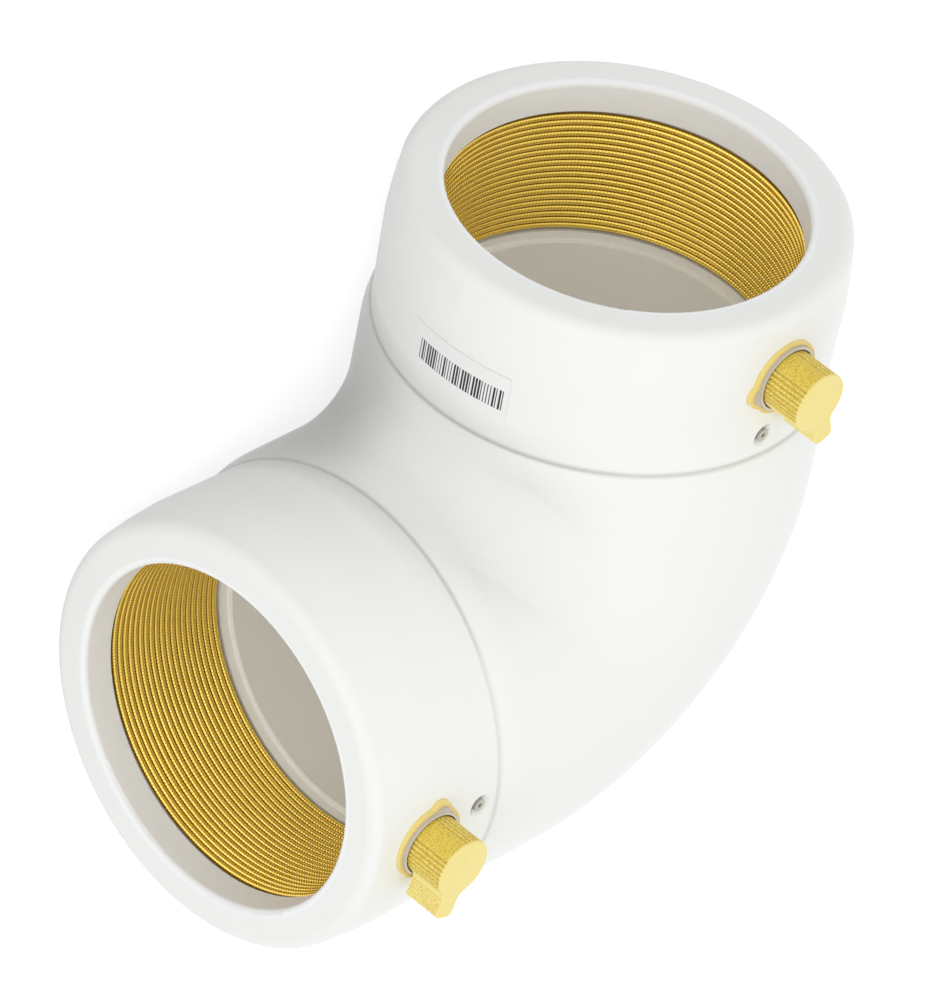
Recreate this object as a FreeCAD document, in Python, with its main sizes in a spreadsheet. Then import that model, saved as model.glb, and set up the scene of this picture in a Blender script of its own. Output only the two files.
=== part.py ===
import FreeCAD, Part
import math
import os
import Sketcher

# Electrofusion elbow, 90 degrees, for 110 mm pipe.
# Working frame of the fitting: socket A points along +X, socket B along +Y, both contacts
# point up along +Z, and the two socket axes cross at the working origin. The finished
# pieces are placed so that the row's origin is under the middle of the lying fitting,
# on the surface it lies on.

V = FreeCAD.Vector

SIZES = {
    # pipe socket
    "pipe_diameter": 110.0,
    "pipe_clearance": 0.5,
    "centre_to_face": 144.5,
    "socket_depth": 60.0,
    "passage_radius": 53.1,
    "mouth_round": 1.8,
    # outside of the fitting
    "tube_radius": 72.0,
    "bend_radius": 58.0,
    "throat_radius": 23.5,
    "throat_end_radius": 16.0,
    "throat_bite": 0.05,
    "throat_shoulder": 6.5,
    "throat_shoulder_round": 19.0,
    "shoulder_length": 9.0,
    "shoulder_drop": 1.5,
    "seam_setback": 50.9,
    "seam_width": 1.1,
    "seam_depth": 0.7,
    "seam_step": 0.4,
    "ring_length": 5.4,
    "crown_rise": 0.55,
    "crown_setback": 21.5,
    "crown_drop": 1.45,
    "rim_round": 4.2,
    # heating coil
    "wire_diameter": 2.1,
    "coil_pitch": 2.2,
    "coil_turns": 20.0,
    "coil_setback": 11.0,
    "coil_clearance": 0.05,
    # contact shroud and its collar
    "contact_setback": 22.2,
    "collar_radius": 12.4,
    "collar_nub_radius": 4.6,
    "collar_nub_reach": 14.4,
    "collar_lift": 0.4,
    "seat_depth": 4.3,
    "shroud_radius": 11.2,
    "shroud_nub_radius": 3.3,
    "shroud_nub_reach": 12.9,
    "nub_blend": 1.6,
    "shroud_wall": 1.1,
    "shroud_lift": 0.9,
    "shroud_floor": 2.5,
    "guard_height": 14.6,
    "guard_wall": 1.3,
    "insert_clearance": 0.05,
    # contact pin
    "contact_diameter": 4.7,
    "contact_length": 11.5,
    "contact_clearance": 0.02,
    "contact_chamfer": 0.7,
    "contact_foot": 0.2,
    "contact_foot_diameter": 6.0,
    # contact cap
    "cap_radius": 9.8,
    "cap_wall": 1.5,
    "cap_top": 2.2,
    "cap_clearance": 0.3,
    "cap_edge": 0.5,
    "lug_reach": 17.6,
    "lug_width": 7.0,
    "lug_blend": 4.0,
    "lug_corner": 1.8,
    "lug_gap": 0.5,
    "knurl_width": 1.0,
    "knurl_depth": 0.35,
    "knurl_count": 9.0,
    # fusion indicator
    "indicator_setback": 43.7,
    "indicator_side": 2.9,
    "indicator_radius": 2.1,
    "indicator_gap": 3.8,
    "indicator_rise": 1.5,
    "indicator_dimple": 0.7,
    "dish_radius": 4.0,
    "dish_depth": 1.6,
    # label
    "label_setback": 26.1,
    "label_width": 15.4,
    "label_thickness": 0.15,
    "label_gap": 0.05,
    # how far a cutting shape runs past what it cuts
    "overcut": 5.0,
}

# angles in degrees: the label's round a socket from straight up, the lug's and the nub's round
# a contact from +X, and the grip's round a cap from its lug
BEND_ANGLE = 90.0
LABEL_FROM = 71.0
LABEL_SWEEP = 31.0
KNURL_STEP = 9.0
GRIP_HALF = 22.0
GRIP_DIRECTION = {"a": 181.0, "b": 224.0}
LUG_DIRECTION = {"a": 200.0, "b": 163.0}
NUB_DIRECTION = {"a": 106.0, "b": -16.0}

doc = FreeCAD.newDocument("electrofusion_elbow")
sheet = doc.addObject("Spreadsheet::Sheet", "Sizes")
for row, (alias, number) in enumerate(SIZES.items(), 1):
    sheet.set("A%d" % row, alias)
    sheet.set("B%d" % row, str(number))
    sheet.setAlias("B%d" % row, alias)
doc.recompute()


class Size:
    """A size with its number and the formula that the document keeps for it."""

    def __init__(self, value, text):
        self.value = value
        self.text = text

    def __add__(self, other):
        other = to_size(other)
        return Size(self.value + other.value, "(%s + %s)" % (self.text, other.text))

    def __sub__(self, other):
        other = to_size(other)
        return Size(self.value - other.value, "(%s - %s)" % (self.text, other.text))

    def __mul__(self, other):
        other = to_size(other)
        return Size(self.value * other.value, "(%s * %s)" % (self.text, other.text))

    def __truediv__(self, other):
        other = to_size(other)
        return Size(self.value / other.value, "(%s / %s)" % (self.text, other.text))

    def __neg__(self):
        return Size(-self.value, "(0 - %s)" % self.text)

    def root(self):
        return Size(math.sqrt(self.value), "sqrt(%s)" % self.text)


def to_size(number):
    if isinstance(number, Size):
        return number
    return Size(float(number), "%.9f" % number)


def size(alias):
    return Size(float(sheet.get(alias)), "Sizes." + alias)


def bind(thing, path, value):
    """Gives a property its formula."""
    thing.setExpression(path, value.text)


ZERO = to_size(0)

# sizes that follow from the sheet
face = size("centre_to_face")
bore_radius = size("pipe_diameter") / 2 + size("pipe_clearance")
stop_at = face - size("socket_depth")
bend = size("bend_radius")
tube = size("tube_radius")
seam_at = face - size("seam_setback")
shoulder_radius = tube - size("shoulder_drop")
ring_radius = shoulder_radius - size("seam_step")
ring_end = seam_at + size("seam_width") / 2 + size("ring_length")
crown_at = face - size("crown_setback")
crown_radius = ring_radius + size("crown_rise")
rim_radius = crown_radius - size("crown_drop")
wire_radius = size("wire_diameter") / 2
coil_radius = bore_radius + wire_radius
coil_start = face - size("coil_setback")
coil_travel = size("coil_pitch") * size("coil_turns")
coil_end = coil_start - coil_travel - size("wire_diameter")
recess_radius = bore_radius + size("wire_diameter") + size("coil_clearance")
contact_at = face - size("contact_setback")
seat_level = crown_radius - size("seat_depth")
collar_level = crown_radius + size("collar_lift")
shroud_level = collar_level + size("shroud_lift")
floor_level = seat_level + size("shroud_floor")
guard_level = floor_level + size("guard_height")
cap_inside = size("cap_radius") - size("cap_wall")
guard_radius = cap_inside - size("cap_clearance")
cap_level = guard_level + size("cap_top")
lug_level = shroud_level + size("lug_gap")
contact_radius = size("contact_diameter") / 2
contact_level = floor_level + size("contact_length")
contact_base = recess_radius + size("contact_foot")
foot_radius = size("contact_foot_diameter") / 2
indicator_at = face - size("indicator_setback")
dish_level = ring_radius - size("dish_depth")
indicator_base = recess_radius + size("indicator_gap")

# from the crossing of the socket axes to the row's origin
home_x = (tube - face) / 2
home_z = tube
home = V(home_x.value, home_x.value, home_z.value)


def arc_centre(start, end, radius, turn):
    """Centre of the arc under 180 degrees from start to end, turning left for +1."""
    chord = end - start
    half = chord.Length / 2
    across = V(-chord.y, chord.x, 0).normalize()
    return start + chord * 0.5 + across * (turn * math.sqrt(max(radius * radius - half * half, 0)))


def pin_point(sketch, curve, end, u, v):
    """Holds one end of a curve at (u, v) from the sketch's origin."""
    for kind, axis, value in (("DistanceX", -2, u), ("DistanceY", -1, v)):
        if value is ZERO:
            sketch.addConstraint(Sketcher.Constraint("PointOnObject", curve, end, axis))
        else:
            number = sketch.addConstraint(Sketcher.Constraint(kind, -1, 1, curve, end, value.value))
            bind(sketch, "Constraints[%d]" % number, value)


def draw(sketch, corners):
    """Closed outline through the corners. A corner (u, v, radius, turn) is reached by an arc."""
    points = [V(corner[0].value, corner[1].value, 0) for corner in corners]
    ends = []
    for number, corner in enumerate(corners):
        start = points[number - 1]
        end = points[number]
        if len(corner) == 2:
            curve = sketch.addGeometry(Part.LineSegment(start, end), False)
            ends.append((curve, 1, 2))
            continue
        radius = corner[2]
        turn = corner[3]
        centre = arc_centre(start, end, radius.value, turn)
        first = math.atan2(start.y - centre.y, start.x - centre.x)
        last = math.atan2(end.y - centre.y, end.x - centre.x)
        if turn < 0:
            first, last = last, first
        if last < first:
            last += 2 * math.pi
        circle = Part.Circle(centre, V(0, 0, 1), radius.value)
        curve = sketch.addGeometry(Part.ArcOfCircle(circle, first, last), False)
        ends.append((curve, 1, 2) if turn > 0 else (curve, 2, 1))
        rule = sketch.addConstraint(Sketcher.Constraint("Radius", curve, radius.value))
        bind(sketch, "Constraints[%d]" % rule, radius)
    for number, corner in enumerate(corners):
        curve, tail, head = ends[number]
        following = ends[(number + 1) % len(ends)]
        sketch.addConstraint(Sketcher.Constraint("Coincident", curve, head, following[0], following[1]))
        pin_point(sketch, curve, head, corner[0], corner[1])


def draw_circle(sketch, radius, u=ZERO, v=ZERO):
    circle = Part.Circle(V(u.value, v.value, 0), V(0, 0, 1), radius.value)
    curve = sketch.addGeometry(circle, False)
    rule = sketch.addConstraint(Sketcher.Constraint("Radius", curve, radius.value))
    bind(sketch, "Constraints[%d]" % rule, radius)
    pin_point(sketch, curve, 3, u, v)


def keyhole(radius, nub_radius, nub_reach, blend):
    """Round outline with a small round nub towards +X, blended by two hollow arcs."""
    centre = nub_reach - nub_radius
    outer = radius + blend
    inner = nub_radius + blend
    cx = (outer * outer - inner * inner + centre * centre) / (centre * 2)
    cy = (outer * outer - cx * cx).root()
    on_round = (cx * radius / outer, cy * radius / outer)
    on_nub = (centre + (cx - centre) * nub_radius / inner, cy * nub_radius / inner)
    return [
        (-radius, ZERO, radius, 1),
        (on_round[0], -on_round[1], radius, 1),
        (on_nub[0], -on_nub[1], blend, -1),
        (nub_reach, ZERO, nub_radius, 1),
        (on_nub[0], on_nub[1], nub_radius, 1),
        (on_round[0], on_round[1], blend, -1),
    ]


def lugged(radius, reach, width, blend, corner):
    """Round outline with a square-ended lug towards +X."""
    half = width / 2
    outer = radius + blend
    side = half + blend
    root_at = (outer * outer - side * side).root()
    return [
        (-radius, ZERO, radius, 1),
        (root_at * radius / outer, -(side * radius / outer), radius, 1),
        (root_at, -half, blend, -1),
        (reach - corner, -half),
        (reach, corner - half, corner, 1),
        (reach, half - corner),
        (reach - corner, half, corner, 1),
        (root_at, half),
        (root_at * radius / outer, side * radius / outer, blend, -1),
    ]


def plane_of(body, role):
    for plane in body.Origin.OriginFeatures:
        if plane.Role == role:
            return plane
    raise ValueError(role)


def new_body(name):
    body = doc.addObject("PartDesign::Body", name)
    body.Label = name
    return body


def sketch_at(body, name, level):
    """Empty sketch of a body, level above the body's own XY plane."""
    sketch = body.newObject("Sketcher::SketchObject", name)
    sketch.AttachmentSupport = [(plane_of(body, "XY_Plane"), "")]
    sketch.MapMode = "FlatFace"
    sketch.AttachmentOffset = FreeCAD.Placement(V(0, 0, level.value), FreeCAD.Rotation())
    bind(sketch, "AttachmentOffset.Base.z", level)
    return sketch


def pad(body, sketch, length):
    feature = body.newObject("PartDesign::Pad", sketch.Name + "_pad")
    feature.Profile = sketch
    bind(feature, "Length", length)
    sketch.Visibility = False
    return feature


def pocket(body, sketch, depth, upwards=False):
    feature = body.newObject("PartDesign::Pocket", sketch.Name + "_pocket")
    feature.Profile = sketch
    feature.Reversed = upwards
    bind(feature, "Length", depth)
    sketch.Visibility = False
    return feature


def put(body, u, v, turn):
    """Stands a body at (u, v) of the working frame, turned about its own upright axis."""
    body.Placement = FreeCAD.Placement(V(0, 0, 0), FreeCAD.Rotation(V(0, 0, 1), turn))
    bind(body, "Placement.Base.x", home_x + u)
    bind(body, "Placement.Base.y", home_x + v)
    bind(body, "Placement.Base.z", home_z)


def loose_sketch(name, corners, placement):
    sketch = doc.addObject("Sketcher::SketchObject", name)
    sketch.Placement = placement
    draw(sketch, corners)
    return sketch


def spin(name, sketch, axis, angle=360.0):
    """Solid of revolution of a sketch round an axis through the working origin."""
    solid = doc.addObject("Part::Revolution", name)
    solid.Source = sketch
    solid.Axis = axis
    solid.Base = V(0, 0, 0)
    solid.Angle = angle
    solid.Solid = True
    return solid


def fuse(name, shapes):
    result = doc.addObject("Part::MultiFuse", name)
    result.Shapes = shapes
    return result


def upright(name, radius, base, top, u, v):
    """Upright cylinder from base to top at (u, v)."""
    cylinder = doc.addObject("Part::Cylinder", name)
    bind(cylinder, "Radius", radius)
    bind(cylinder, "Height", top - base)
    bind(cylinder, "Placement.Base.x", u)
    bind(cylinder, "Placement.Base.y", v)
    bind(cylinder, "Placement.Base.z", base)
    return cylinder


LEGS = {
    "a": (V(1, 0, 0), FreeCAD.Placement()),
    "b": (V(0, 1, 0), FreeCAD.Placement(V(0, 0, 0), FreeCAD.Rotation(V(0, 0, 1), 90))),
}


def on_leg(leg, along, inward):
    """(x, y) of a point given by its place along a leg and its offset towards the other leg."""
    return (along, inward) if leg == "a" else (inward, along)


# outside: two turned legs, a turned quarter bend and the filled throat between the legs

leg_outline = [
    (bend, ZERO),
    (face, ZERO),
    (face, rim_radius - size("rim_round")),
    (face - size("rim_round"), rim_radius, size("rim_round"), 1),
    (crown_at, crown_radius, size("crown_setback") * size("crown_setback") / (size("crown_drop") * 2), 1),
    (ring_end, ring_radius),
    (seam_at + size("seam_width") / 2, ring_radius),
    (seam_at + size("seam_width") / 4, shoulder_radius - size("seam_depth")),
    (seam_at - size("seam_width") / 4, shoulder_radius - size("seam_depth")),
    (seam_at - size("seam_width") / 2, shoulder_radius),
    (
        seam_at - size("seam_width") / 2 - size("shoulder_length"),
        tube,
        (size("shoulder_length") * size("shoulder_length") / size("shoulder_drop") + size("shoulder_drop")) / 2,
        1,
    ),
    (bend, tube),
]
outside = []
for leg, (axis, placement) in LEGS.items():
    profile = loose_sketch("leg_outline_" + leg, leg_outline, placement)
    outside.append(spin("leg_" + leg, profile, axis))

bend_placement = FreeCAD.Placement(
    V(bend.value, 0, 0), FreeCAD.Rotation(V(0, 1, 0), V(0, 0, 1), V(1, 0, 0), "XYZ")
)


def quarter_bend(name, radius):
    """Round bar through the 90 degree bend. Past the bend's centre the bar is cut off there."""
    sketch = doc.addObject("Sketcher::SketchObject", name + "_outline")
    sketch.Placement = bend_placement
    bind(sketch, "Placement.Base.x", bend)
    if radius.value > bend.value:
        chord = (radius * radius - bend * bend).root()
        draw(sketch, [(bend, -chord), (-radius, ZERO, radius, -1), (bend, chord, radius, -1)])
    else:
        draw_circle(sketch, radius)
    solid = doc.addObject("Part::Revolution", name)
    solid.Source = sketch
    solid.Axis = V(0, 0, 1)
    solid.Base = V(bend.value, bend.value, 0)
    bind(solid, "Base.x", bend)
    bind(solid, "Base.y", bend)
    solid.Angle = -BEND_ANGLE
    solid.Solid = True
    return solid


outside.append(quarter_bend("bend_outside", tube))

# throat: level slices of a hollow fillet, tight at the sides and wide in the middle
THROAT_STEPS = 4
THROAT_ANGLE = 55.0
throat_slices = []
for step in range(-THROAT_STEPS, THROAT_STEPS + 1):
    share = step / THROAT_STEPS
    lean = math.radians(THROAT_ANGLE * share)
    side = tube * math.cos(lean) - size("throat_bite")
    round_off = size("throat_radius") - (size("throat_radius") - size("throat_end_radius")) * share ** 2
    deep = side - size("overcut")
    corners = [(deep, deep), (side + round_off, side), (side, side + round_off, round_off, -1)]
    level = tube * math.sin(lean)
    slice_ = loose_sketch(
        "throat_slice_%d" % (step + THROAT_STEPS),
        corners,
        FreeCAD.Placement(V(0, 0, level.value), FreeCAD.Rotation()),
    )
    bind(slice_, "Placement.Base.z", level)
    throat_slices.append(slice_)
throat = doc.addObject("Part::Loft", "throat")
throat.Sections = throat_slices
throat.Solid = True
throat.Ruled = False

if tube.value > bend.value:
    outside.append(throat)
outer_form = fuse("outer_form", outside)

# where the throat runs out to a socket it drops to the seam over a rounded shoulder
seam_edge = seam_at - size("seam_width") / 2
seam_far = seam_at + size("seam_width") / 2
throat_reach = tube - size("throat_bite") + size("throat_radius")
shoulder_at = seam_edge - size("throat_shoulder")
run_out = throat_reach - shoulder_at
shoulder_top = throat_reach - (size("throat_radius") * size("throat_radius") - run_out * run_out).root()
above = size("throat_bite") / 2
trim_top = shoulder_top + size("throat_bite") * 5
trim_end = throat_reach + size("overcut")
trim_outline = [
    (seam_edge, shoulder_radius + above),
    (shoulder_at, trim_top, size("throat_shoulder_round"), 1),
    (shoulder_at, trim_top + size("throat_radius")),
    (trim_end, trim_top + size("throat_radius")),
    (trim_end, ring_radius + above),
    (seam_far, ring_radius + above),
]
for leg, (axis, placement) in LEGS.items():
    profile = loose_sketch("throat_trim_outline_" + leg, trim_outline, placement)
    trimmed = doc.addObject("Part::Cut", "throat_trimmed_" + leg)
    trimmed.Base = outer_form
    trimmed.Tool = spin("throat_trim_" + leg, profile, axis)
    outer_form = trimmed
outer_form.Refine = True

# inside: pipe bores down to the stops, coil recesses and the smooth bend passage
past_face = face + size("overcut")
recess_near = coil_start + size("coil_clearance")
recess_far = coil_end - size("coil_clearance")
mouth = size("mouth_round")
bore_outline = [
    (bend, ZERO),
    (past_face, ZERO),
    (past_face, bore_radius + mouth),
    (face, bore_radius + mouth),
    (face - mouth, bore_radius, mouth, -1),
    (recess_near, bore_radius),
    (recess_near, recess_radius),
    (recess_far, recess_radius),
    (recess_far, bore_radius),
    (stop_at, bore_radius),
    (stop_at, size("passage_radius")),
    (bend, size("passage_radius")),
]
hollows = [quarter_bend("bend_passage", size("passage_radius"))]
for leg, (axis, placement) in LEGS.items():
    profile = loose_sketch("bore_outline_" + leg, bore_outline, placement)
    hollows.append(spin("bore_" + leg, profile, axis))

# seats of the contacts and of the indicators in the socket walls
loose = size("insert_clearance")
for leg in LEGS:
    u, v = on_leg(leg, contact_at, ZERO)
    seat = loose_sketch(
        "collar_seat_outline_" + leg,
        keyhole(
            size("collar_radius") + loose,
            size("collar_nub_radius") + loose,
            size("collar_nub_reach") + loose,
            size("nub_blend") - loose,
        ),
        FreeCAD.Placement(
            V(u.value, v.value, seat_level.value), FreeCAD.Rotation(V(0, 0, 1), NUB_DIRECTION[leg])
        ),
    )
    bind(seat, "Placement.Base.x", u)
    bind(seat, "Placement.Base.y", v)
    bind(seat, "Placement.Base.z", seat_level)
    seat_cut = doc.addObject("Part::Extrusion", "collar_seat_" + leg)
    seat_cut.Base = seat
    seat_cut.DirMode = "Custom"
    seat_cut.Dir = V(0, 0, 1)
    seat_cut.Solid = True
    bind(seat_cut, "LengthFwd", size("seat_depth") + size("overcut"))
    hollows.append(seat_cut)
    foot_hole = foot_radius + size("contact_clearance")
    hollows.append(upright("contact_hole_" + leg, foot_hole, bore_radius, seat_level, u, v))
    u, v = on_leg(leg, indicator_at, size("indicator_side"))
    hole_radius = size("indicator_radius") + loose
    hollows.append(upright("indicator_hole_" + leg, hole_radius, indicator_base, dish_level, u, v))
    dish = doc.addObject("Part::Cone", "indicator_dish_" + leg)
    bind(dish, "Radius1", hole_radius)
    bind(dish, "Radius2", size("dish_radius") * 2 - hole_radius)
    bind(dish, "Height", size("dish_depth") * 2)
    bind(dish, "Placement.Base.x", u)
    bind(dish, "Placement.Base.y", v)
    bind(dish, "Placement.Base.z", dish_level)
    hollows.append(dish)

elbow_body = doc.addObject("Part::Cut", "elbow_body")
elbow_body.Base = outer_form
elbow_body.Tool = fuse("hollows", hollows)


def settle(thing, label):
    """Moves a piece made in the working frame to the row's origin."""
    thing.Label = label
    thing.Placement = FreeCAD.Placement(home, FreeCAD.Rotation())
    bind(thing, "Placement.Base.x", home_x)
    bind(thing, "Placement.Base.y", home_x)
    bind(thing, "Placement.Base.z", home_z)
    pieces.append(thing)


pieces = []
settle(elbow_body, "elbow_body")

# heating coils: one helical wire in the wall of each socket, wound as mirror images,
# both ends under the contact
COIL_FRAMES = {
    "a": (FreeCAD.Rotation(V(0, 0, 1), V(0, -1, 0), V(1, 0, 0), "ZXY"), "Right-handed"),
    "b": (FreeCAD.Rotation(V(0, 0, 1), V(1, 0, 0), V(0, 1, 0), "ZXY"), "Left-handed"),
}
for leg, (turned, hand) in COIL_FRAMES.items():
    u, v = on_leg(leg, coil_end + wire_radius, ZERO)
    helix = doc.addObject("Part::Helix", "coil_line_" + leg)
    helix.LocalCoord = hand
    bind(helix, "Pitch", size("coil_pitch"))
    bind(helix, "Height", coil_travel)
    bind(helix, "Radius", coil_radius)
    helix.Placement = FreeCAD.Placement(V(0, 0, 0), turned)
    bind(helix, "Placement.Base.x", u)
    bind(helix, "Placement.Base.y", v)
    wire = doc.addObject("Part::RegularPolygon", "coil_section_" + leg)
    wire.Polygon = 8
    bind(wire, "Circumradius", wire_radius)
    wire.Placement = FreeCAD.Placement(V(0, 0, 0), turned * FreeCAD.Rotation(V(1, 0, 0), 90))
    bind(wire, "Placement.Base.x", u)
    bind(wire, "Placement.Base.y", v)
    bind(wire, "Placement.Base.z", coil_radius)
    coil = doc.addObject("Part::Sweep", "heating_coil_" + leg)
    coil.Sections = [wire]
    coil.Spine = (helix, [])
    coil.Solid = True
    coil.Frenet = True
    settle(coil, "heating_coil_" + leg)

# contacts: collar, shroud, pin and pull-off cap on each socket
for leg in LEGS:
    u, v = on_leg(leg, contact_at, ZERO)

    collar = new_body("contact_collar_" + leg)
    sketch = sketch_at(collar, "collar_ring_" + leg, seat_level)
    draw(
        sketch,
        keyhole(
            size("collar_radius"), size("collar_nub_radius"), size("collar_nub_reach"), size("nub_blend")
        ),
    )
    pad(collar, sketch, collar_level - seat_level)
    sketch = sketch_at(collar, "collar_opening_" + leg, collar_level)
    draw(
        sketch,
        keyhole(
            size("shroud_radius") + loose,
            size("shroud_nub_radius") + loose,
            size("shroud_nub_reach") + loose,
            size("nub_blend") - loose,
        ),
    )
    pocket(collar, sketch, collar_level - seat_level)
    put(collar, u, v, NUB_DIRECTION[leg])
    pieces.append(collar)

    shroud = new_body("contact_shroud_" + leg)
    sketch = sketch_at(shroud, "shroud_base_" + leg, seat_level)
    draw(
        sketch,
        keyhole(
            size("shroud_radius"), size("shroud_nub_radius"), size("shroud_nub_reach"), size("nub_blend")
        ),
    )
    pad(shroud, sketch, shroud_level - seat_level)
    sketch = sketch_at(shroud, "shroud_well_" + leg, shroud_level)
    draw_circle(sketch, size("shroud_radius") - size("shroud_wall"))
    pocket(shroud, sketch, shroud_level - floor_level)
    sketch = sketch_at(shroud, "shroud_guard_" + leg, floor_level)
    draw_circle(sketch, guard_radius)
    draw_circle(sketch, guard_radius - size("guard_wall"))
    pad(shroud, sketch, size("guard_height"))
    sketch = sketch_at(shroud, "shroud_contact_hole_" + leg, floor_level)
    draw_circle(sketch, foot_radius + size("contact_clearance"))
    pocket(shroud, sketch, floor_level - seat_level)
    put(shroud, u, v, NUB_DIRECTION[leg])
    pieces.append(shroud)

    contact = new_body("contact_pin_" + leg)
    sketch = sketch_at(contact, "contact_foot_" + leg, contact_base)
    draw_circle(sketch, foot_radius)
    pad(contact, sketch, floor_level - contact_base)
    sketch = sketch_at(contact, "contact_section_" + leg, floor_level)
    draw_circle(sketch, contact_radius)
    shaft = pad(contact, sketch, contact_level - floor_level)
    doc.recompute()
    tip = [
        "Edge%d" % number
        for number, edge in enumerate(shaft.Shape.Edges, 1)
        if edge.BoundBox.ZMin > contact_level.value - 0.01
    ]
    chamfer = contact.newObject("PartDesign::Chamfer", "contact_tip_" + leg)
    chamfer.Base = (shaft, tip)
    bind(chamfer, "Size", size("contact_chamfer"))
    put(contact, u, v, 0)
    pieces.append(contact)

    cap = new_body("contact_cap_" + leg)
    sketch = sketch_at(cap, "cap_round_" + leg, floor_level)
    draw_circle(sketch, size("cap_radius"))
    pad(cap, sketch, cap_level - floor_level)
    sketch = sketch_at(cap, "cap_lug_" + leg, lug_level)
    draw(
        sketch,
        lugged(
            size("cap_radius"), size("lug_reach"), size("lug_width"), size("lug_blend"), size("lug_corner")
        ),
    )
    crown = pad(cap, sketch, cap_level - lug_level)
    doc.recompute()
    rim = [
        "Edge%d" % number
        for number, edge in enumerate(crown.Shape.Edges, 1)
        if edge.BoundBox.ZMin > cap_level.value - 0.01
    ]
    fillet = cap.newObject("PartDesign::Fillet", "cap_edge_" + leg)
    fillet.Base = (crown, rim)
    bind(fillet, "Radius", size("cap_edge"))
    sketch = sketch_at(cap, "cap_inside_" + leg, floor_level)
    draw_circle(sketch, cap_inside)
    pocket(cap, sketch, size("guard_height"), upwards=True)
    # two runs of axial grooves, one on each side of the plain grip patch
    rim_at = size("cap_radius")
    inner = rim_at - size("knurl_depth")
    outer = rim_at + size("knurl_depth")
    for side in (1, -1):
        start = math.radians(GRIP_DIRECTION[leg] + side * (GRIP_HALF + KNURL_STEP / 2))
        ca = math.cos(start)
        sa = math.sin(start)
        sketch = sketch_at(cap, "cap_knurl_%s_%s" % (leg, "left" if side > 0 else "right"), cap_level)
        draw(
            sketch,
            [
                (outer * ca + size("knurl_width") * sa, outer * sa - size("knurl_width") * ca),
                (outer * ca - size("knurl_width") * sa, outer * sa + size("knurl_width") * ca),
                (inner * ca, inner * sa),
            ],
        )
        groove = pocket(cap, sketch, cap_level - size("cap_edge") * 2 - floor_level)
        pattern = cap.newObject("PartDesign::PolarPattern", sketch.Name + "s")
        pattern.Originals = [groove]
        pattern.Axis = (sketch, ["N_Axis"])
        pattern.Reversed = side < 0
        pattern.Occurrences = int(round(sheet.get("knurl_count")))
        pattern.Angle = KNURL_STEP * (pattern.Occurrences - 1)
        cap.Tip = pattern
    put(cap, u, v, LUG_DIRECTION[leg])
    pieces.append(cap)

# fusion indicators: loose round slugs in their holes
for leg in LEGS:
    u, v = on_leg(leg, indicator_at, size("indicator_side"))
    indicator = new_body("fusion_indicator_" + leg)
    sketch = sketch_at(indicator, "indicator_section_" + leg, indicator_base)
    draw_circle(sketch, size("indicator_radius"))
    pad(indicator, sketch, dish_level + size("indicator_rise") - indicator_base)
    sketch = sketch_at(indicator, "indicator_dimple_" + leg, dish_level + size("indicator_rise"))
    draw_circle(sketch, size("indicator_dimple"))
    pocket(indicator, sketch, size("indicator_dimple"))
    put(indicator, u, v, 0)
    pieces.append(indicator)


def socket_surface(along):
    """Outside radius of a socket between the plain ring and the crown."""
    return ring_radius + size("crown_rise") * (along - ring_end) / (crown_at - ring_end)


# label: a thin curved sticker on the outside of socket A
label_near = face - size("label_setback")
label_far = label_near - size("label_width")
gap = size("label_gap")
label_outline = loose_sketch(
    "label_outline",
    [
        (label_far, socket_surface(label_far) + gap),
        (label_near, socket_surface(label_near) + gap),
        (label_near, socket_surface(label_near) + gap + size("label_thickness")),
        (label_far, socket_surface(label_far) + gap + size("label_thickness")),
    ],
    FreeCAD.Placement(V(0, 0, 0), FreeCAD.Rotation(V(1, 0, 0), 90 - LABEL_FROM - LABEL_SWEEP)),
)
label = spin("barcode_label", label_outline, V(1, 0, 0), LABEL_SWEEP)
settle(label, "barcode_label")

doc.recompute()

for thing in doc.Objects:
    if "Invalid" in thing.State or "Error" in thing.State:
        raise RuntimeError("%s did not build: %s" % (thing.Name, thing.State))
for piece in pieces:
    shape = piece.Shape
    if shape.isNull() or not shape.isValid() or len(shape.Solids) != 1:
        raise RuntimeError("%s has no single valid solid" % piece.Label)

os.makedirs("parts", exist_ok=True)
for piece in pieces:
    piece.Shape.exportStep("parts/%s.step" % piece.Label)
    print("%-20s %10.1f mm3" % (piece.Label, piece.Shape.Volume))
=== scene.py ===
import bpy
import math
from mathutils import Matrix, Vector
from mathutils.bvhtree import BVHTree
from mathutils.interpolate import poly_3d_calc


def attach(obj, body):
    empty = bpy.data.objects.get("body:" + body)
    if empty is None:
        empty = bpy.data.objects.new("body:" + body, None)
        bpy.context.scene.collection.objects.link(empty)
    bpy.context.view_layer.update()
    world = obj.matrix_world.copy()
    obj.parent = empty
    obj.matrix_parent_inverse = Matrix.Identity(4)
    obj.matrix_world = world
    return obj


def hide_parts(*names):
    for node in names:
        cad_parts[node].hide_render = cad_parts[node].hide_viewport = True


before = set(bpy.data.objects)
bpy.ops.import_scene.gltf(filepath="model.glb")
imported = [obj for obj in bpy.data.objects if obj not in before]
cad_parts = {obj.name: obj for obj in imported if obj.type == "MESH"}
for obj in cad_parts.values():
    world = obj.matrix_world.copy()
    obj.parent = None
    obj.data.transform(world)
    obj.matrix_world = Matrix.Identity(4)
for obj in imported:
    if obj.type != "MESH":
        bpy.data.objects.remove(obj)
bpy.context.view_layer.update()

# Places in mm in the working frame: the socket axes cross at its origin, leg a runs along x
# and leg b along y
MM = 0.001
HOME = Vector((-36.25, -36.25, 72.0)) * MM  # the working frame's origin, in the row's frame
LEGS = ("a", "b")
BORE_RADIUS = 55.5
SEAM_RUN = 93.6
CAPS = {"a": (122.3, 0.0), "b": (0.0, 122.3)}
GRIP_PATCHES = {"a": 21.0, "b": 27.0}  # azimuth of the middle of each cap's grip patch, degrees
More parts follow.
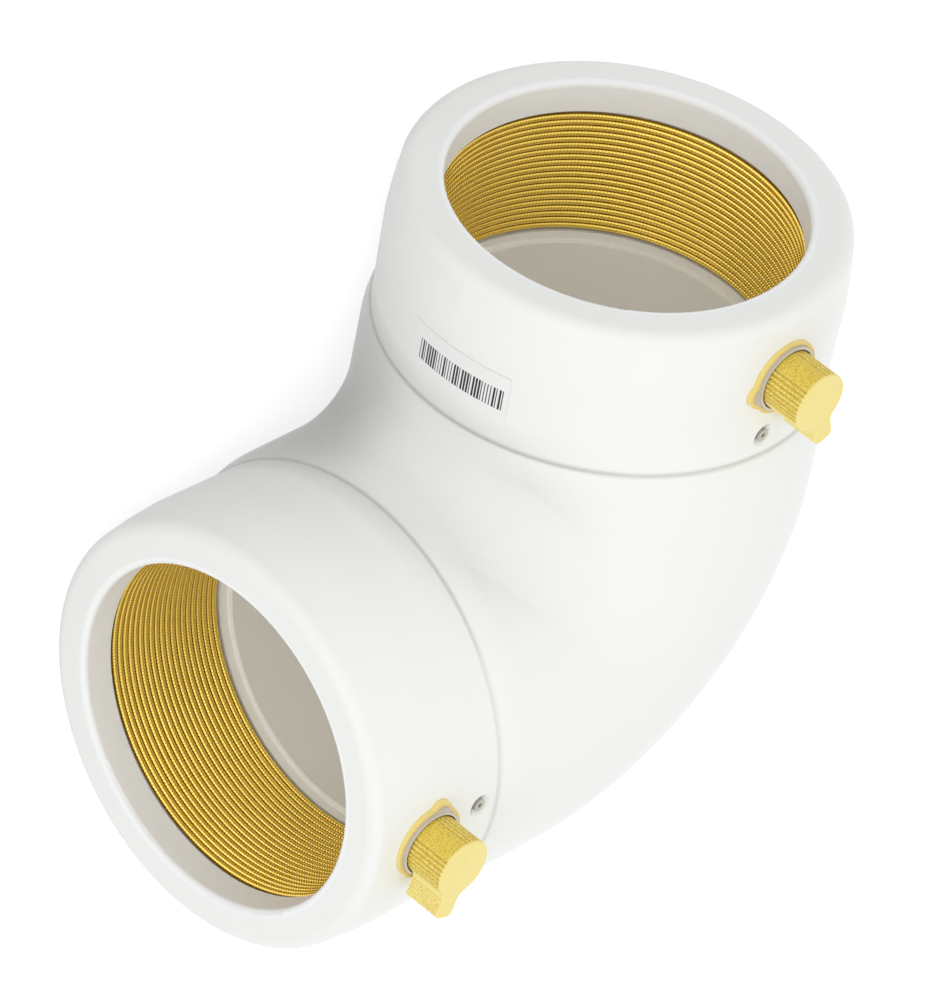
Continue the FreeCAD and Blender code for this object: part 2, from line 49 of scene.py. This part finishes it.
INDICATORS = {"a": (100.8, 2.9), "b": (2.9, 100.8)}


class Graph:
    """A material's node tree with short ways to add and join nodes."""

    def __init__(self, name):
        self.material = bpy.data.materials.new(name)
        self.material.use_nodes = True
        self.tree = self.material.node_tree
        self.tree.nodes.clear()
        self.out = self.add("ShaderNodeOutputMaterial")

    def add(self, kind, **values):
        node = self.tree.nodes.new(kind)
        for key, value in values.items():
            setattr(node, key, value)
        return node

    def feed(self, socket, value):
        """Give a socket a number, a colour or the output of another node."""
        if isinstance(value, (int, float)):
            socket.default_value = value
        elif isinstance(value, tuple):
            socket.default_value = (*value, 1)
        else:
            self.tree.links.new(value, socket)

    def math(self, operation, *values):
        node = self.add("ShaderNodeMath", operation=operation)
        for socket, value in zip(node.inputs, values):
            self.feed(socket, value)
        return node.outputs[0]

    def times(self, first, *others):
        for other in others:
            first = self.math("MULTIPLY", first, other)
        return first

    def minus(self, a, b):
        return self.math("SUBTRACT", a, b)

    def below(self, value, limit):
        return self.math("LESS_THAN", value, limit)

    def above(self, value, limit):
        return self.math("GREATER_THAN", value, limit)

    def length(self, a, b):
        return self.math("SQRT", self.math("ADD", self.times(a, a), self.times(b, b)))

    def ramp(self, factor, stops):
        node = self.add("ShaderNodeValToRGB")
        elements = node.color_ramp.elements
        while len(elements) < len(stops):
            elements.new(0.5)
        for element, (place, colour) in zip(elements, stops):
            element.position = place
            element.color = (*colour, 1)
        self.feed(node.inputs[0], factor)
        return node.outputs[0]

    def fade(self, factor, low, high, start=0.0, end=1.0):
        """Grey that goes from one level to another between two places."""
        return self.ramp(factor, [(low, (start,) * 3), (high, (end,) * 3)])

    def noise(self, vector, scale, detail=2.0, rough=0.5):
        node = self.add("ShaderNodeTexNoise")
        for key, value in (("Scale", scale), ("Detail", detail), ("Roughness", rough), ("Vector", vector)):
            self.feed(node.inputs[key], value)
        return node.outputs["Fac"]

    def position(self):
        return self.add("ShaderNodeTexCoord").outputs["Object"]

    def split(self, vector):
        node = self.add("ShaderNodeSeparateXYZ")
        self.feed(node.inputs[0], vector)
        return node.outputs

    def local(self, place):
        """The three coordinates in the working frame, in metres."""
        return [self.minus(value, start) for value, start in zip(self.split(place), HOME)]

    def mix(self, factor, a, b):
        node = self.add("ShaderNodeMix", data_type="RGBA")
        for index, value in ((0, factor), (6, a), (7, b)):
            self.feed(node.inputs[index], value)
        return node.outputs[2]

    def bump(self, height, strength, distance):
        node = self.add("ShaderNodeBump")
        for key, value in (("Strength", strength), ("Distance", distance), ("Height", height)):
            self.feed(node.inputs[key], value)
        return node.outputs[0]

    def distance(self, place, centre):
        """Level distance from an upright axis, given in mm in the working frame."""
        offset = self.add("ShaderNodeVectorMath", operation="SUBTRACT")
        self.feed(offset.inputs[0], place)
        offset.inputs[1].default_value = (HOME.x + centre[0] * MM, HOME.y + centre[1] * MM, 0)
        level = self.add("ShaderNodeVectorMath", operation="MULTIPLY")
        self.feed(level.inputs[0], offset.outputs[0])
        level.inputs[1].default_value = (1, 1, 0)
        length = self.add("ShaderNodeVectorMath", operation="LENGTH")
        self.feed(length.inputs[0], level.outputs[0])
        return length.outputs["Value"]

    def shader(self, colour, rough, normal, **values):
        """The surface: further values are sockets of the Principled shader."""
        node = self.add("ShaderNodeBsdfPrincipled")
        for key, value in {"Base Color": colour, "Roughness": rough, "Normal": normal, **values}.items():
            self.feed(node.inputs[key], value)
        self.feed(self.out.inputs[0], node.outputs[0])


# Finishes. A ramp runs from 0 to 1, so a distance is divided by 2 mm or by 0.1 m before it
PLASTIC_IOR = 1.49
PER_TWO_MM = 1 / (2 * MM)
PER_DECIMETRE = 10.0
GRAIN_DEPTH = 0.02 * MM


def moulded_grain(g, place):
    """Fine grain of a moulded skin, and the normal that it gives."""
    fine = g.noise(place, 900.0, 3.0, 0.6)
    return fine, g.bump(fine, 0.25, GRAIN_DEPTH)


def seam_shade_and_bore(g, colour, x, y, z):
    """Paint shade into the seam groove of each leg and find the inside of the bores."""
    seam_painted_shade = (0.72, 0.725, 0.705)
    outer_skin = 62 * MM
    bore_limit = (BORE_RADIUS + 2.3) * MM
    heel_limit = 10 * MM
    inside = 0.0
    # Painted shade along each seam groove, stronger on leg a than on leg b
    for along, across, strength in ((x, y, 0.85), (y, x, 0.45)):
        off = g.math("ABSOLUTE", g.minus(along, SEAM_RUN * MM))
        radius = g.length(across, z)
        near = g.fade(g.times(off, PER_TWO_MM), 0.05, 0.75, 1.0, 0.0)
        seam = g.times(near, g.above(radius, outer_skin))
        colour = g.mix(g.times(seam, strength), colour, seam_painted_shade)
        bore = g.times(g.below(radius, bore_limit), g.above(along, heel_limit))
        inside = g.math("MAXIMUM", inside, bore)
    return colour, inside


def crook_shade(g, x, y, inside):
    """How much painted shade the crook between the legs gets, from how closed in it is."""
    hollow = g.add("ShaderNodeAmbientOcclusion", samples=8)
    hollow.inputs["Distance"].default_value = 70 * MM
    strength = 1.62
    inner = g.fade(g.times(g.math("MINIMUM", x, y), PER_DECIMETRE), 0.44, 0.70)
    outer = g.fade(g.times(g.math("MAXIMUM", x, y), PER_DECIMETRE / 1.1), 0.835, 0.935, 1.0, 0.08)
    closed = g.times(inner, outer, g.minus(1.0, hollow.outputs["AO"]))
    outside = g.minus(strength, g.times(inside, strength))
    return g.math("MINIMUM", g.times(g.math("POWER", closed, 0.75), outside), 1.0)


def dish_shade(g, place, z, at):
    """How much painted shade an indicator's dish wall gets where it faces away from the crook."""
    geometry = g.add("ShaderNodeNewGeometry")
    lean = g.add("ShaderNodeVectorMath", operation="DOT_PRODUCT")
    g.feed(lean.inputs[0], geometry.outputs["Normal"])
    lean.inputs[1].default_value = (-1.0, -1.0, 0.0)
    away = g.fade(lean.outputs["Value"], 0.0, 0.5)
    upper = g.above(z, 60 * MM)
    return g.times(upper, g.below(g.distance(place, at), 4.05 * MM), away, 0.85)


def body_plastic():
    """Pale satin plastic with painted shade in the seams, in the crook and in the indicator dishes, and
    paler inside the bores as painted light.
    """
    g = Graph("pale_moulded_plastic")
    place = g.position()
    x, y, z = g.local(place)
    slow = g.noise(place, 22.0)
    fine, normal = moulded_grain(g, place)
    colour = g.ramp(slow, [(0.3, (0.912, 0.922, 0.905)), (0.7, (0.925, 0.935, 0.92))])
    colour, inside = seam_shade_and_bore(g, colour, x, y, z)
    # Painted light: the inside of the bores is made paler than the rest of the moulding
    colour = g.mix(inside, colour, (0.965, 0.975, 0.985))
    # Painted shade in the crook between the legs
    colour = g.mix(crook_shade(g, x, y, inside), colour, (0.55, 0.555, 0.53))
    # Painted shade on the dish walls of both indicators
    for leg in LEGS:
        colour = g.mix(dish_shade(g, place, z, INDICATORS[leg]), colour, (0.24, 0.235, 0.21))
    g.shader(colour, g.math("MULTIPLY_ADD", fine, 0.10, 0.37), normal, IOR=PLASTIC_IOR)
    return g.material


def collar_plastic():
    """Yellow satin plastic."""
    g = Graph("collar_yellow_plastic")
    place = g.position()
    fine, normal = moulded_grain(g, place)
    colour = g.ramp(g.noise(place, 22.0), [(0.3, (0.86, 0.68, 0.21)), (0.7, (0.90, 0.73, 0.25))])
    g.shader(colour, g.math("MULTIPLY_ADD", fine, 0.10, 0.35), normal, IOR=PLASTIC_IOR)
    return g.material


def cap_zones(g, place, leg):
    """Where the cap has its wall, and the azimuth and radius there."""
    at = [HOME[index] + CAPS[leg][index] * MM for index in (0, 1)]
    spots = g.split(place)
    x, y = (g.minus(spots[index], at[index]) for index in (0, 1))
    patch = math.radians(GRIP_PATCHES[leg])
    ahead = g.math("ADD", g.times(x, math.cos(patch)), g.times(y, math.sin(patch)))
    aside = g.minus(g.times(y, math.cos(patch)), g.times(x, math.sin(patch)))
    azimuth = g.math("ABSOLUTE", g.math("ARCTAN2", aside, ahead))
    geometry = g.add("ShaderNodeNewGeometry")
    upward = g.split(geometry.outputs["Normal"])[2]
    side = g.below(g.math("ABSOLUTE", upward), 0.3)
    under_top = g.below(spots[2], HOME.z + 84.8 * MM)
    return g.times(side, under_top), azimuth, g.length(x, y)


def cap_plastic(leg):
    """Yellow plastic: stippled grip patch, ribs on both sides of it with painted shade in the grooves
    between them, and a plain end.
    """
    g = Graph("cap_yellow_plastic_" + leg)
    place = g.position()
    fine = g.noise(place, 1900.0, 1.5, 0.7)
    side, azimuth, radius = cap_zones(g, place, leg)
    wall = g.times(side, g.above(radius, 9.0 * MM))
    grip = g.times(wall, g.below(azimuth, math.radians(100)))
    pad = g.times(wall, g.below(azimuth, math.radians(22)))
    groove_painted_shade = g.times(grip, g.below(radius, 9.72 * MM))
    lug = g.times(side, g.above(radius, 11.2 * MM))
    lug_stipple = 0.6 if leg == "b" else 0.15
    rough = g.math("MAXIMUM", grip, g.times(lug, lug_stipple))
    speck = g.fade(fine, 0.40, 0.58, 1.0, 0.0)
    colour = g.ramp(g.noise(place, 60.0), [(0.3, (0.93, 0.78, 0.27)), (0.7, (0.95, 0.81, 0.31))])
    colour = g.mix(g.times(grip, 0.35), colour, (0.92, 0.72, 0.10))
    # Painted shade down in the grooves between the ribs
    colour = g.mix(g.times(groove_painted_shade, 0.66), colour, (0.66, 0.45, 0.015))
    colour = g.mix(g.times(pad, 0.62), colour, (0.84, 0.61, 0.04))
    colour = g.mix(g.times(rough, 0.8, speck), colour, (0.60, 0.40, 0.012))
    g.shader(colour, 0.42, g.bump(g.times(fine, rough), 0.6, 0.3 * MM), IOR=PLASTIC_IOR)
    return g.material


def wire_metal():
    """Bright drawn wire with a fine diagonal hatch that winds round it, and painted shade on its flanks
    towards the turns beside it.
    """
    g = Graph("coil_wire_metal")
    uv = g.add("ShaderNodeUVMap", uv_map="wire")
    along, around, _ = g.split(uv.outputs[0])
    phase = g.math("ADD", g.times(along, 2 * math.pi), g.times(around, 4 * math.pi))
    hatch = g.math("MULTIPLY_ADD", g.math("SINE", phase), 0.5, 0.5)
    patch = g.noise(g.position(), 220.0)
    colour = g.mix(hatch, (0.84, 0.56, 0.05), (1.0, 0.79, 0.22))
    colour = g.mix(g.times(patch, 0.25), colour, (1.0, 0.84, 0.30))
    # Painted shade: the wire darkens away from the side that faces into the bore, towards the turns beside
    # it
    off_crest = g.math("ABSOLUTE", g.minus(around, 0.5))
    colour = g.mix(g.fade(off_crest, 0.12, 0.24), colour, (0.42, 0.22, 0.004))
    g.shader(colour, 0.24, g.bump(hatch, 0.45, 0.12 * MM), Metallic=1.0)
    return g.material


def shroud_plastic(leg):
    """Grey white plastic: a painted highlight along the crest of the rim and painted shadow down in the gap
    under the cap.
    """
    g = Graph("grey_white_plastic_" + leg)
    place = g.position()
    fine, normal = moulded_grain(g, place)
    out = g.minus(g.distance(place, CAPS[leg]), 10.0 * MM)
    # The ramp paints a highlight along the crest of the rim, greyer to either side, and a painted shadow at
    # its inner edge in the gap under the cap
    crest = [
        (0.10, (0.10, 0.075, 0.03)),
        (0.18, (0.52, 0.47, 0.43)),
        (0.34, (0.90, 0.88, 0.86)),
        (0.52, (0.56, 0.51, 0.49)),
    ]
    colour = g.ramp(g.times(out, PER_TWO_MM), crest)
    under_cap = g.below(out, -0.4 * MM)
    colour = g.mix(under_cap, colour, (0.78, 0.76, 0.74))
    colour = g.mix(g.times(fine, 0.2), colour, (0.66, 0.61, 0.58))
    g.shader(colour, 0.28, normal, IOR=PLASTIC_IOR)
    return g.material


def contact_metal():
    """Turned metal with fine rings."""
    g = Graph("turned_contact_metal")
    place = g.position()
    ring_phase = 30 / MM
    rings = g.math("SINE", g.times(g.split(place)[2], ring_phase))
    colour = g.ramp(g.noise(place, 300.0), [(0.3, (0.70, 0.52, 0.20)), (0.7, (0.86, 0.68, 0.34))])
    g.shader(colour, 0.25, g.bump(rings, 0.15, GRAIN_DEPTH), Metallic=1.0)
    return g.material


def indicator_plastic(leg):
    """Pale slug with the brown end of its core showing in the middle."""
    g = Graph("indicator_plastic_" + leg)
    place = g.position()
    fine = g.noise(place, 900.0)
    core = g.fade(g.times(g.distance(place, INDICATORS[leg]), PER_TWO_MM), 0.25, 0.50, 1.0, 0.0)
    pale = g.ramp(fine, [(0.3, (0.50, 0.49, 0.45)), (0.7, (0.58, 0.57, 0.53))])
    colour = g.mix(core, pale, (0.38, 0.32, 0.15))
    g.shader(colour, 0.4, g.bump(fine, 0.2, GRAIN_DEPTH), IOR=PLASTIC_IOR)
    return g.material


def label_film():
    """White film with a row of plain bars of uneven width."""
    bars_from, bars_to = 72.4, 99.5  # degrees round the socket from straight up
    ends = (105.9, 113.2)  # mm along the socket
    cells = 96.0  # three for each bar: ink, white, and one that is ink by chance
    g = Graph("label_film")
    place = g.position()
    x, y, z = g.local(place)
    azimuth = g.times(g.math("ARCTAN2", y, z), 180 / math.pi)
    share = g.math("DIVIDE", g.minus(azimuth, bars_from), bars_to - bars_from)
    cell = g.math("FLOOR", g.times(share, cells))
    third = g.math("MODULO", cell, 3.0)
    chance = g.add("ShaderNodeTexWhiteNoise", noise_dimensions="1D")
    g.feed(chance.inputs["W"], g.math("ADD", cell, 3.5))
    wide = g.times(g.above(third, 1.5), g.above(chance.outputs[0], 0.45))
    ink = g.math("MAXIMUM", g.below(third, 0.5), wide)
    for value, low, high in ((share, 0.0, 1.0), (x, ends[0] * MM, ends[1] * MM)):
        ink = g.times(ink, g.above(value, low), g.below(value, high))
    fine = g.noise(place, 1200.0)
    film = g.ramp(fine, [(0.3, (0.885, 0.892, 0.88)), (0.7, (0.90, 0.907, 0.895))])
    colour = g.mix(ink, film, (0.012, 0.012, 0.014))
    g.shader(colour, 0.38, g.bump(fine, 0.1, GRAIN_DEPTH / 2), IOR=PLASTIC_IOR)
    return g.material


def dress(node, material):
    """Put a material on a CAD node by its slots."""
    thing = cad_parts[node]
    if not thing.material_slots:
        thing.data.materials.append(None)
    for slot in thing.material_slots:
        slot.link = "OBJECT"
        slot.material = material


def add_object(name, data):
    """A new object in the scene, with its mesh, light or camera."""
    thing = bpy.data.objects.new(name, data)
    bpy.context.scene.collection.objects.link(thing)
    return thing


# Shoulders of the throat. The solid ends its throat in a small ledge just before each seam, so
# a fair surface is laid there. A run is mm along a leg, a turn is degrees round it from the side
# that faces the other leg
SHEET_FROM = 80.0  # the sheet starts here, under the solid's own surface
FAIR_FROM = 84.0  # the fair surface fades in from here
FAIR_TO = 93.0  # and ends at the foot of the seam
FADE_RUN = 2.5
RUN_STEP = 0.5
SHEET_TURN = 52  # the sheet's reach to each side
FAIR_TURN = 34  # the fair surface's full reach
FADE_TURN = 8  # and its fading beyond that
FOOT_RADIUS = 70.5
FOOT_SLOPE = -0.31
BACK_STEP = 2.0  # the slope at the start is measured over this run
BACK_SLOPE_SHARE = 0.93  # since the throat flattens on the way
OUTER_SKIN = (62.0, 80.0)  # radii between which the outer skin lies
RAY_START = 85.0
RAY_LENGTH = 30.0
SKIN_GAP = 0.03  # how far the sheet lies under the solid's surface where it doesn't show
SINK = 0.5  # how far the solid's skin is let in under the fair surface


def leg_axes(leg):
    """Along the leg, towards the other leg, and up."""
    x, y, up = Vector((1, 0, 0)), Vector((0, 1, 0)), Vector((0, 0, 1))
    return (x, y, up) if leg == "a" else (y, x, up)


def smooth_step(value):
    value = min(max(value, 0.0), 1.0)
    return value * value * (3 - 2 * value)


def fair_share(run, turn):
    """How much of the fair surface shows at a place."""
    side = smooth_step((FAIR_TURN + FADE_TURN - abs(turn)) / FADE_TURN)
    return side * smooth_step((run - FAIR_FROM) / FADE_RUN) if run <= FAIR_TO else 0.0


def settled(values):
    """A row of values with its small steps evened out."""
    for _ in range(3):
        ends = [values[0]] + values + [values[-1]]
        values = [(ends[n] + 2 * ends[n + 1] + ends[n + 2]) / 4 for n in range(len(values))]
    return values


class Shoulder:
    """The body's outer surface on one leg, where the throat rounds down to the seam."""

    def __init__(self, leg, mesh, tree):
        self.leg = leg
        self.along, self.across, self.up = leg_axes(leg)
        self.mesh = mesh
        self.tree = tree
        self.turns = list(range(-SHEET_TURN, SHEET_TURN + 1))
        starts = [self.skin_radius(FAIR_FROM, turn) for turn in self.turns]
        backs = [self.skin_radius(FAIR_FROM - BACK_STEP, turn) for turn in self.turns]
        self.starts = settled(starts)
        self.slopes = settled([(a - b) / BACK_STEP * BACK_SLOPE_SHARE for a, b in zip(starts, backs)])

    def outward(self, turn):
        angle = math.radians(turn)
        return self.across * math.cos(angle) + self.up * math.sin(angle)

    def point(self, run, turn, radius):
        return (self.along * run + self.outward(turn) * radius) * MM + HOME

    def strike(self, run, turn):
        start = self.point(run, turn, RAY_START)
        return self.tree.ray_cast(start, -self.outward(turn), RAY_LENGTH * MM)

    def skin_radius(self, run, turn):
        place = self.strike(run, turn)[0]
        return (place - self.point(run, turn, 0)).length / MM

    def skin(self, run, turn):
        """Radius and normal of the solid's own surface."""
        place, _, face, _ = self.strike(run, turn)
        polygon = self.mesh.polygons[face]
        corners = [self.mesh.vertices[n].co for n in polygon.vertices]
        normal = Vector((0, 0, 0))
        for share, loop in zip(poly_3d_calc(corners, place), polygon.loop_indices):
            normal += self.mesh.corner_normals[loop].vector * share
        return (place - self.point(run, turn, 0)).length / MM, normal.normalized()

    def fair_radius(self, run, turn):
        """Radius of a curve that leaves the throat and lands on the foot without a kink."""
        place = min(max(turn + SHEET_TURN, 0.0), len(self.turns) - 1.001)
        low = int(place)
        part = place - low
        start = self.starts[low] * (1 - part) + self.starts[low + 1] * part
        slope = self.slopes[low] * (1 - part) + self.slopes[low + 1] * part
        span = FAIR_TO - FAIR_FROM
        t = (run - FAIR_FROM) / span
        rise = 3 * t * t - 2 * t ** 3
        leave = span * (t - 2 * t * t + t ** 3)
        land = span * (t ** 3 - t * t)
        return start * (1 - rise) + FOOT_RADIUS * rise + slope * leave + FOOT_SLOPE * land

    def fair_normal(self, run, turn):
        run_step, turn_step = 0.05, 0.5
        rise = self.fair_radius(run + run_step, turn) - self.fair_radius(run - run_step, turn)
        swing = self.fair_radius(run, turn + turn_step) - self.fair_radius(run, turn - turn_step)
        angle = math.radians(turn)
        sideways = self.up * math.cos(angle) - self.across * math.sin(angle)
        arc = math.radians(2 * turn_step) * self.fair_radius(run, turn)
        normal = self.outward(turn) - self.along * (rise / (2 * run_step)) - sideways * (swing / arc)
        return normal.normalized()

    def sunk(self, place):
        """A vertex of the solid, let in under the fair surface, and how far that covers it."""
        local = (place - HOME) / MM
        run, across = local.dot(self.along), local.dot(self.across)
        radius = math.hypot(across, local.z)
        in_zone = across > 0 and OUTER_SKIN[0] < radius < OUTER_SKIN[1]
        if not in_zone or not FAIR_FROM < run < FAIR_TO - 0.02:
            return place, 0.0
        turn = math.degrees(math.atan2(local.z, across))
        share = fair_share(run, turn)
        if share <= 0:
            return place, 0.0
        lower = min(radius, self.fair_radius(run, turn)) - SINK
        return self.point(run, turn, radius * (1 - share) + lower * share), share

    def sheet(self):
        """Vertices, normals and faces of the fair surface."""
        count = int((FAIR_TO - SHEET_FROM) / RUN_STEP) + 1
        verts, normals, faces = [], [], []
        for turn in self.turns:
            for index in range(count):
                run = SHEET_FROM + RUN_STEP * index
                radius, normal = self.skin(run, turn)
                share = fair_share(run, turn)
                if share > 0:
                    radius += (self.fair_radius(run, turn) - radius) * share
                    normal = normal.lerp(self.fair_normal(run, turn), share).normalized()
                verts.append(self.point(run, turn, radius - SKIN_GAP * (1 - share)))
                normals.append(normal)
        for row in range(len(self.turns) - 1):
            for index in range(count - 1):
                first = row * count + index
                quad = (first, first + 1, first + count + 1, first + count)
                faces.append(quad[::-1] if self.leg == "a" else quad)
        return verts, normals, faces


def fair_body():
    """The moulding with both shoulders of its throat smoothed."""
    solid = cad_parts["elbow_body"].data
    places = [vert.co.copy() for vert in solid.vertices]
    tree = BVHTree.FromPolygons(places, [tuple(face.vertices) for face in solid.polygons])
    shoulders = [Shoulder(leg, solid, tree) for leg in LEGS]
    verts, covered = [], set()
    for index, place in enumerate(places):
        for shoulder in shoulders:
            place, share = shoulder.sunk(place)
            if share > 0.99:
                covered.add(index)
        verts.append(place)
    faces, normals = [], []
    for face in solid.polygons:
        if not covered.issuperset(face.vertices):
            faces.append(tuple(face.vertices))
            normals += [solid.corner_normals[loop].vector.copy() for loop in face.loop_indices]
    for shoulder in shoulders:
        sheet_verts, sheet_normals, quads = shoulder.sheet()
        first = len(verts)
        verts += sheet_verts
        for quad in quads:
            faces.append(tuple(first + n for n in quad))
            normals += [sheet_normals[n] for n in quad]
    mesh = bpy.data.meshes.new("elbow_moulding")
    mesh.from_pydata(verts, [], faces)
    mesh.polygons.foreach_set("use_smooth", [True] * len(faces))
    mesh.normals_split_custom_set(normals)
    mesh.materials.append(body_plastic())
    thing = add_object("elbow_moulding", mesh)
    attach(thing, "fitting")
    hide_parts("elbow_body")


# Heating coils
WIRE = 2.1
PITCH = 2.2
TURNS = 20
COIL_START = 133.5
HATCH_PITCH = 1.1
STEPS = 132  # of a turn
SIDES = 14  # of the wire


def coil_mesh(name, leg):
    """Round wire wound as a helix from under the contact, one turn a pitch."""
    radius = BORE_RADIUS + WIRE / 2
    first = COIL_START - WIRE / 2
    verts, faces = [], []
    count = STEPS * TURNS + 1
    for step in range(count):
        turn = 2 * math.pi * step / STEPS
        middle = first - PITCH * step / STEPS
        for side in range(SIDES):
            lean = 2 * math.pi * side / SIDES
            out = radius + WIRE / 2 * math.cos(lean)
            along = middle + WIRE / 2 * math.sin(lean)
            up = out * math.cos(turn)
            across = out * math.sin(turn)
            point = (along, across, up) if leg == "a" else (across, along, up)
            verts.append(Vector(point) * MM + HOME)
    for step in range(count - 1):
        for side in range(SIDES):
            a = step * SIDES + side
            b = step * SIDES + (side + 1) % SIDES
            quad = (a, b, b + SIDES, a + SIDES)
            faces.append(quad if leg == "b" else quad[::-1])
    ends = (tuple(range(SIDES)), tuple(range(len(verts) - SIDES, len(verts)))[::-1])
    faces.extend(end if leg == "a" else end[::-1] for end in ends)
    mesh = bpy.data.meshes.new(name)
    mesh.from_pydata(verts, [], faces)
    wrap_wire(mesh, 2 * math.pi * radius / STEPS / HATCH_PITCH)
    mesh.validate()
    return mesh


def wrap_wire(mesh, stripes_a_step):
    """Coordinates along and round the wire, for the hatch."""
    uv = mesh.uv_layers.new(name="wire")
    for polygon in mesh.polygons:
        polygon.use_smooth = len(polygon.vertices) == 4
        closes = any(vertex % SIDES == SIDES - 1 for vertex in polygon.vertices)
        for loop, vertex in zip(polygon.loop_indices, polygon.vertices):
            step, side = divmod(vertex, SIDES)
            if side == 0 and closes:
                side = SIDES
            uv.data[loop].uv = (stripes_a_step * step, side / SIDES)


def wind_coils():
    wire = wire_metal()
    for leg in LEGS:
        winding = add_object("coil_winding_" + leg, coil_mesh("coil_winding_" + leg, leg))
        winding.data.materials.append(wire)
        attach(winding, "fitting")
        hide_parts("heating_coil_" + leg)


def dress_solids():
    """Finishes of the CAD pieces that show as they are."""
    collar = collar_plastic()
    metal = contact_metal()
    dress("barcode_label", label_film())
    for leg in LEGS:
        dress("contact_collar_" + leg, collar)
        dress("contact_cap_" + leg, cap_plastic(leg))
        dress("contact_shroud_" + leg, shroud_plastic(leg))
        dress("contact_pin_" + leg, metal)
        dress("fusion_indicator_" + leg, indicator_plastic(leg))


# Studio: plain pale floor, even sky and two soft lamps, in metres and watts
FLOOR_HALF = 6.0
FLOOR_GLOW = 0.74  # lifts the floor to white where it is seen, not where it lights the object
SKY_COLOUR = (0.995, 1.0, 0.99)
SKY_STRENGTH = 0.93
LAMP_SIZE = 0.8
LAMP_TARGET = Vector((0.03, 0.03, 0.07))
LAMPS = (("key_lamp", Vector((0.2, 1.5, 0.55)), 2.6), ("front_lamp", Vector((0.95, 0.95, 0.8)), 1.0))


def floor_material():
    g = Graph("studio_floor")
    matt = g.add("ShaderNodeBsdfDiffuse")
    g.feed(matt.inputs[0], g.ramp(g.noise(g.position(), 3.0, 1.0), [(0.3, (0.64,) * 3), (0.7, (0.66,) * 3)]))
    ray = g.add("ShaderNodeLightPath")
    seen = g.math("MAXIMUM", ray.outputs["Is Camera Ray"], ray.outputs["Is Transmission Ray"])
    seen = g.math("MAXIMUM", seen, ray.outputs["Is Glossy Ray"])
    glow = g.add("ShaderNodeEmission")
    g.feed(glow.inputs[0], (1, 1, 1))
    g.feed(glow.inputs[1], g.times(seen, FLOOR_GLOW))
    both = g.add("ShaderNodeAddShader")
    g.feed(both.inputs[0], matt.outputs[0])
    g.feed(both.inputs[1], glow.outputs[0])
    g.feed(g.out.inputs[0], both.outputs[0])
    return g.material


def lay_floor():
    mesh = bpy.data.meshes.new("studio_floor")
    corners = [(x * FLOOR_HALF, y * FLOOR_HALF, 0) for x, y in ((-1, -1), (1, -1), (1, 1), (-1, 1))]
    mesh.from_pydata(corners, [], [(0, 1, 2, 3)])
    mesh.materials.append(floor_material())
    floor = add_object("studio_floor", mesh)


def hang_sky():
    """Even sky that the camera sees as plain white."""
    world = bpy.data.worlds.new("studio")
    bpy.context.scene.world = world
    world.use_nodes = True
    nodes, links = world.node_tree.nodes, world.node_tree.links
    nodes.clear()
    path = nodes.new("ShaderNodeLightPath")
    swap = nodes.new("ShaderNodeMixShader")
    links.new(path.outputs["Is Camera Ray"], swap.inputs[0])
    for index, colour, strength in ((1, SKY_COLOUR, SKY_STRENGTH), (2, (1, 1, 1), 1.0)):
        sky = nodes.new("ShaderNodeBackground")
        sky.inputs[0].default_value = (*colour, 1)
        sky.inputs[1].default_value = strength
        links.new(sky.outputs[0], swap.inputs[index])
    out = nodes.new("ShaderNodeOutputWorld")
    links.new(swap.outputs[0], out.inputs[0])


def hang_lamp(name, place, power):
    data = bpy.data.lights.new(name, "AREA")
    data.shape = "DISK"
    data.size = LAMP_SIZE
    data.energy = power
    aim = (LAMP_TARGET - place).to_track_quat("-Z", "Y").to_matrix().to_4x4()
    add_object(name, data).matrix_world = Matrix.Translation(place) @ aim


# Camera, fitted to the photograph: its place in mm and its axes in the working frame
CAMERA_PLACE = Vector((1644.39, 1644.51, 1245.38))
CAMERA_RIGHT = Vector((0.15901, -0.70065, 0.69556))
CAMERA_DOWN = Vector((-0.76912, 0.35381, 0.53223))
CAMERA_AHEAD = Vector((-0.619, -0.6196, -0.48263))
PHOTO_WIDTH = 939
FOCAL_PIXELS = 8551.7
SENSOR_WIDTH = 36.0


def set_camera():
    data = bpy.data.cameras.new("photo_camera")
    data.sensor_fit = "HORIZONTAL"
    data.sensor_width = SENSOR_WIDTH
    data.lens = FOCAL_PIXELS / PHOTO_WIDTH * SENSOR_WIDTH
    data.clip_end = 20.0
    camera = add_object("photo_camera", data)
    turned = Matrix((CAMERA_RIGHT, -CAMERA_DOWN, -CAMERA_AHEAD)).transposed().to_4x4()
    camera.matrix_world = Matrix.Translation(CAMERA_PLACE * MM + HOME) @ turned
    bpy.context.scene.camera = camera


fair_body()
wind_coils()
dress_solids()
lay_floor()
hang_sky()
for lamp in LAMPS:
    hang_lamp(*lamp)
set_camera()
bpy.context.scene.view_settings.view_transform = "Standard"
